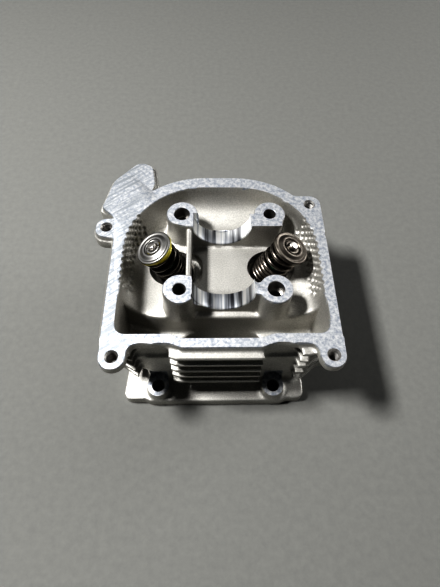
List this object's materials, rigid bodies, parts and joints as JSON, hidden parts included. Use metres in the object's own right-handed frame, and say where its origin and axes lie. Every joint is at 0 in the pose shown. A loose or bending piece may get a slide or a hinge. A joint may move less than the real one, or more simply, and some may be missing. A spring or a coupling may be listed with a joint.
{
  "type": "cylinder head",
  "caption": "Overhead-cam four-stroke cylinder head: finned casting with open cam box, two sprung valves at 50 degrees, side ports, chain tunnel and plug well.",
  "frame": {"origin": "centre of the bounding box's footprint, on the deck face that meets the cylinder", "axes": "+Z from the deck up to the cover gasket face, +Y away from the chain side towards the spark plug, +X towards the intake valve"},
  "size_m": [0.1298, 0.1358, 0.0656],
  "materials": {
    "cast_aluminium": "sand-textured die casting with machined faces",
    "bright_steel": "turned and polished",
    "bronzed_steel": "heat-tinted, turned",
    "spring_steel": "oiled dark spring wire",
    "valve_steel": "ground",
    "sintered_iron": "sintered, machined",
    "green_rubber": "moulded"
  },
  "bodies": {
    "head": {"head_casting": "cast_aluminium", "exhaust_seat_insert": "sintered_iron", "exhaust_valve_guide": "sintered_iron", "exhaust_guide_clip": "spring_steel", "exhaust_spring_seat": "valve_steel", "exhaust_stem_seal": "green_rubber", "exhaust_seal_garter_spring": "bright_steel", "exhaust_spring_outer": "spring_steel", "exhaust_spring_inner": "spring_steel", "intake_seat_insert": "sintered_iron", "intake_valve_guide": "sintered_iron", "intake_guide_clip": "spring_steel", "intake_spring_seat": "valve_steel", "intake_stem_seal": "green_rubber", "intake_seal_garter_spring": "bright_steel", "intake_spring_outer": "spring_steel", "intake_spring_inner": "spring_steel"},
    "exhaust_valve_group": {"exhaust_valve": "valve_steel", "exhaust_retainer": "bright_steel", "exhaust_cotter_a": "bright_steel", "exhaust_cotter_b": "bright_steel"},
    "intake_valve_group": {"intake_valve": "valve_steel", "intake_retainer": "bronzed_steel", "intake_cotter_a": "bronzed_steel", "intake_cotter_b": "bronzed_steel"}
  },
  "joints": [
    {"name": "exhaust_valve_lift", "type": "slide", "parent": "head", "child": "exhaust_valve_group", "axis": [0.4226, 0, -0.9063], "range_m": [0, 0.005], "stiffness_N_per_m": 20000, "springref_m": -0.008, "deforming": ["exhaust_spring_outer", "exhaust_spring_inner"]},
    {"name": "intake_valve_lift", "type": "slide", "parent": "head", "child": "intake_valve_group", "axis": [-0.4226, 0, -0.9063], "range_m": [0, 0.005], "stiffness_N_per_m": 20000, "springref_m": -0.008, "deforming": ["intake_spring_outer", "intake_spring_inner"]}
  ]
}
